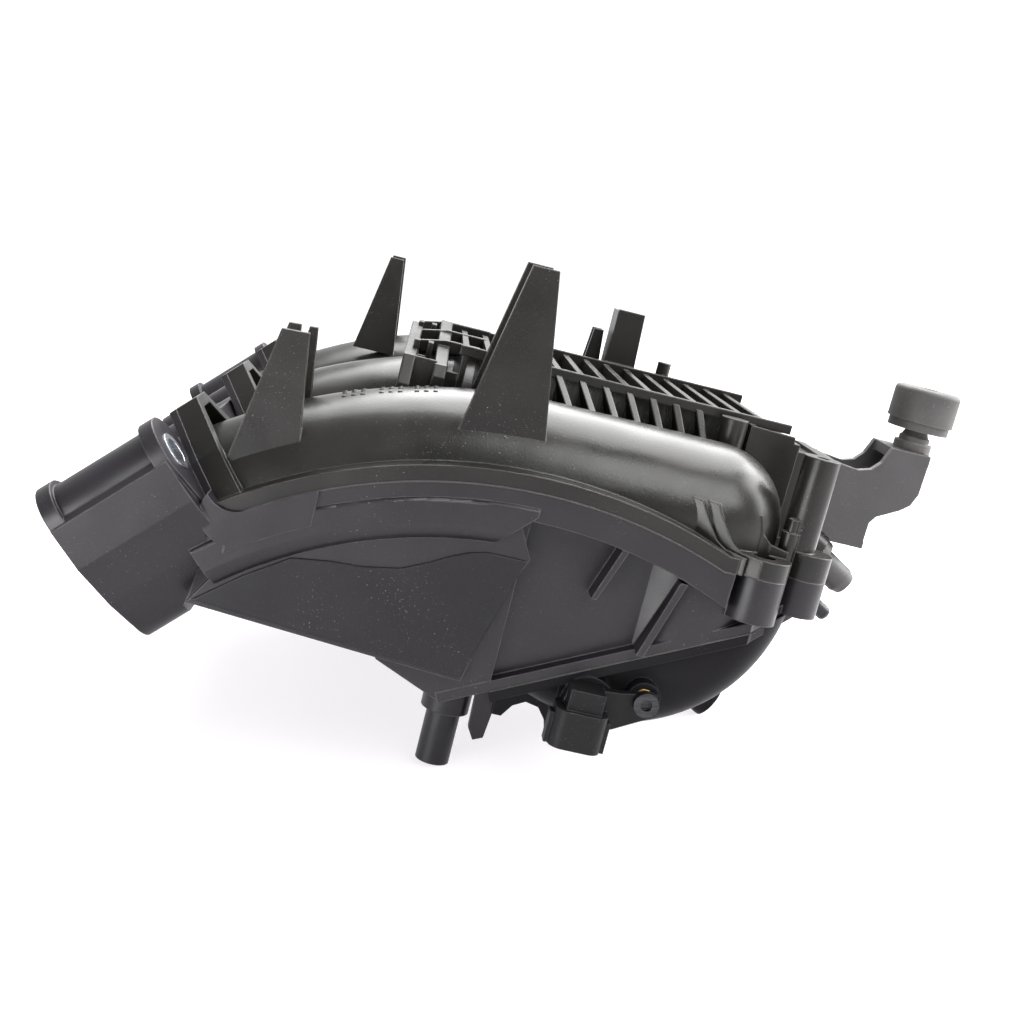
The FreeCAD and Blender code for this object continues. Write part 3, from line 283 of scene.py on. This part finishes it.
def blocks(name, solids, material):
    """Plates given by their near and far outlines, with rounded edges, as one piece."""
    edge_width = 0.0004
    corners, faces = [], []
    for near, far in solids:
        first, count = len(corners), len(near)
        corners += near + far
        faces.append(tuple(range(first, first + count)))
        faces.append(tuple(range(first + count, first + 2 * count))[::-1])
        for step in range(count):
            following = (step + 1) % count
            faces.append((first + step, first + count + step, first + count + following, first + following))
    made = add(name, corners, faces, material)
    shape = bmesh.new()
    shape.from_mesh(made.data)
    bmesh.ops.recalc_face_normals(shape, faces=shape.faces)
    shape.to_mesh(made.data)
    shape.free()
    for face in made.data.polygons:
        face.use_smooth = False
    soft = made.modifiers.new("soft_edges", "BEVEL")
    soft.width = edge_width
    soft.segments = 2
    soft.harden_normals = True


def arc_spot(degrees, beyond, y):
    """A place on or beyond the runner arc, turned in degrees from straight up towards the rear."""
    angle = math.radians(degrees)
    radius = ARC_RADIUS + beyond
    return spot(ARC_X + radius * math.sin(angle), y, ARC_Z + radius * math.cos(angle))


def rim_spot(along, y):
    """A place on the lower weld seam, which slopes up towards the rear."""
    return spot(BOWL_X + along * math.cos(RIM_SLOPE) + RIM_DROP * math.sin(RIM_SLOPE), y,
                BOWL_Z + along * math.sin(RIM_SLOPE) - RIM_DROP * math.cos(RIM_SLOPE))


def weld_seams():
    """Thin beads along both weld seams, on the near and far sides, coloured near black as painted shade of
    the seam's groove.
    """
    upper_y, upper_radius = 120.1, 0.00032
    rim_y, rim_radius, rim_places = 115.5, 0.00028, (-47, 0, 30)
    arc_start, arc_end = -33, 20
    deck_start, deck_end = 37.7, 41
    upper, rim = [], []
    for side in (-1, 1):
        y = side * upper_y
        arc = [arc_spot(degrees, 0, y) for degrees in range(arc_start, arc_end + 1)]
        upper.append(arc + [spot(deck_start, y, DECK_Z), spot(deck_end, y, DECK_Z)])
        rim.append([rim_spot(along, side * rim_y) for along in rim_places])
    beads("upper_weld_seams", upper, upper_radius, SEAM_SHADE)
    beads("lower_weld_seams", rim, rim_radius, SEAM_SHADE)


def gusset_plate():
    """The lower part of the near gusset stands proud of it, up to a wavy line."""
    face_y, proud, sunk = -118, 0.6, 0.3
    wavy_edge = [(-103, 38.2), (-91, 48), (-79, 56), (-68.5, 57.6), (-60, 58), (-49.5, 60), (-42, 63.5),
                 (-37, 66.4), (-31.7, 68.8), (-27, 69.9), (-16, 70)]
    rear_edge = [(-21.3, 50), (-26.2, 32.7)]
    plate = slab(wavy_edge + rear_edge, face_y - proud, face_y + sunk)
    # The plate's plastic is painted darker than the lower plastic, as painted shade.
    blocks("gusset_plate", [plate], SHADED_GUSSET)


def crown_height(x, y):
    """Height of the first runner's outer wall above a point."""
    rise = math.sqrt(RUNNER_RADIUS ** 2 - (y - RUNNER_1_Y) ** 2)
    return ARC_Z + math.sqrt((ARC_RADIUS + rise) ** 2 - (x - ARC_X) ** 2)


def buttress(x):
    """A rib that slopes from the near rail of the grate down to the first runner."""
    rail_y, rail_z = -76, 117
    back_y, front_y = -77, -86
    foot = x + 4.5
    sides = []
    for shift in (-1.2, 1.2):
        sides.append([
            spot(x + shift, rail_y - 0.3, rail_z + 1),
            spot(x + shift, rail_y + 1.5, rail_z + 1),
            spot(foot + shift, back_y, crown_height(foot, back_y) - 1),
            spot(foot + shift, front_y, crown_height(foot, front_y) - 0.6),
        ])
    return sides


def buttresses():
    """The row of ribs in front of the grate."""
    first, pitch, count = -15.8, 7.3, 7
    ribs = [buttress(pitch * number + first) for number in range(count)]
    blocks("grate_buttresses", ribs, UPPER)


def strut(x, wide, spine):
    """A clip rail across the runners, along a line of (y, z) places on its top edge."""
    deep = 3.5
    under = [(y, z - deep) for y, z in reversed(spine)]
    return [[spot(side, y, z) for y, z in spine + under] for side in (x - wide / 2, x + wide / 2)]


def crosspiece(y, top, end):
    """A clip rail along the runners, from the left clip rail to the grate."""
    thick, deep = 2, 3.4
    left, bend = -60, -50
    outline = [(left, top - 2), (bend, top), (end, top), (end, top - deep), (left, top - 2 - deep)]
    return slab(outline, y, y + thick)


def clip_rails():
    """The rails of the clip at the grate's left end."""
    rails = [
        strut(-60.3, 3.8, [(-79, 105), (-74, 113.4), (-13, 118.6)]),
        strut(-50.6, 4.0, [(-77, 109), (-75, 112.6), (-2, 120.4)]),
        crosspiece(-47, 117.6, -39),
        crosspiece(-24, 119, -37),
        crosspiece(-3, 120.2, -35),
    ]
    blocks("clip_rails", rails, UPPER)


def crown_marks():
    """Rows of plain raised dashes on the crown of the first runner."""
    pitch, long = 0.9, 0.45  # degrees round the runner's arc
    roundness, radius = 0.0225, 0.00024
    dashes = []
    for y in (-96, -92.6, -89.2):
        above = RUNNER_RADIUS - roundness * (y - RUNNER_1_Y) ** 2
        for group in (-21.4, -17.8, -14.4):
            for number in range(3):
                start = group + pitch * number
                dashes.append([arc_spot(start, above, y), arc_spot(start + long, above, y)])
    beads("crown_marks", dashes, radius, UPPER)


weld_seams()
gusset_plate()
buttresses()
clip_rails()
crown_marks()

# ---------------------------------------------------------------- stage, lights and camera


def paper():
    """Pale paper, with a glow of its own that keeps it near white."""
    s = Shader("white_paper")
    tone = s.mix(s.spread(s.noise(3.0, 2.0), 0.3, 0.7), rgb(150, 148, 150), rgb(156, 155, 156))
    glow = rgb(250, 247, 250)
    return s.finish(Base_Color=tone, Roughness=0.9, Emission_Color=glow, Emission_Strength=0.8)


def floor():
    """The sheet of paper that the part stands on."""
    half = 6.0
    mesh = bpy.data.meshes.new("floor")
    corners = [(-half, -half, 0), (half, -half, 0), (half, half, 0), (-half, half, 0)]
    mesh.from_pydata(corners, [], [(0, 1, 2, 3)])
    mesh.materials.append(paper())
    made = bpy.data.objects.new("floor", mesh)
    scene.collection.objects.link(made)


def softbox(name, place, aim, size, power):
    """A rectangular light at a place, in metres, turned to face another."""
    light = bpy.data.lights.new(name, "AREA")
    light.shape = "RECTANGLE"
    light.size, light.size_y = size
    light.energy = power
    made = bpy.data.objects.new(name, light)
    made.location = place
    made.rotation_euler = (Vector(aim) - Vector(place)).to_track_quat("-Z", "Y").to_euler()
    scene.collection.objects.link(made)


def daylight(front, back):
    """A white studio, dimmer on the viewer's side than behind the part."""
    world = bpy.data.worlds.new("studio")
    world.use_nodes = True
    tree = world.node_tree
    place = tree.nodes.new("ShaderNodeTexCoord")
    parts = tree.nodes.new("ShaderNodeSeparateXYZ")
    level = tree.nodes.new("ShaderNodeMapRange")
    tree.links.new(place.outputs["Generated"], parts.inputs["Vector"])
    tree.links.new(parts.outputs["Y"], level.inputs["Value"])
    for name, setting in (("From Min", -0.3), ("From Max", 0.25), ("To Min", front), ("To Max", back)):
        level.inputs[name].default_value = setting
    background = tree.nodes["Background"]
    background.inputs["Color"].default_value = (1.0, 1.0, 1.0, 1.0)
    tree.links.new(level.outputs["Result"], background.inputs["Strength"])
    scene.world = world


def look(left, front, above, down, right):
    """The camera: its place from the throttle in metres, and how far it is turned in degrees."""
    camera = bpy.data.cameras.new("camera")
    camera.sensor_width = 36.0
    camera.lens = 49.22
    camera.dof.use_dof = False
    viewer = bpy.data.objects.new("camera", camera)
    viewer.location = (THROTTLE.x - left, RUNNER_2_Y - front, THROTTLE.z + above)
    viewer.rotation_euler = (math.radians(90 - down), 0.0, math.radians(-right))
    scene.collection.objects.link(viewer)
    scene.camera = viewer


floor()
daylight(0.8, 1.04)
softbox("overhead", (0.3, 0.4, 1.05), (0.04, 0.0, 0.08), (1.4, 1.2), 72.0)
softbox("back", (-0.1, 1.7, 0.6), (0.0, 0.0, 0.08), (2.8, 1.1), 2.0)
softbox("left", (-0.36, -0.5, 0.05), (-0.14, -0.11, 0.08), (0.32, 0.22), 3.6)
softbox("front", (0.5, -0.8, 0.7), (0.08, -0.1, 0.1), (0.65, 0.65), 15.0)
softbox("right", (1.0, 0.1, 0.5), (0.0, 0.0, 0.08), (0.8, 0.8), 30.0)

look(left=0.00336, front=0.49203, above=0.10704, down=11.977, right=2.481)
scene.view_settings.view_transform = "Standard"
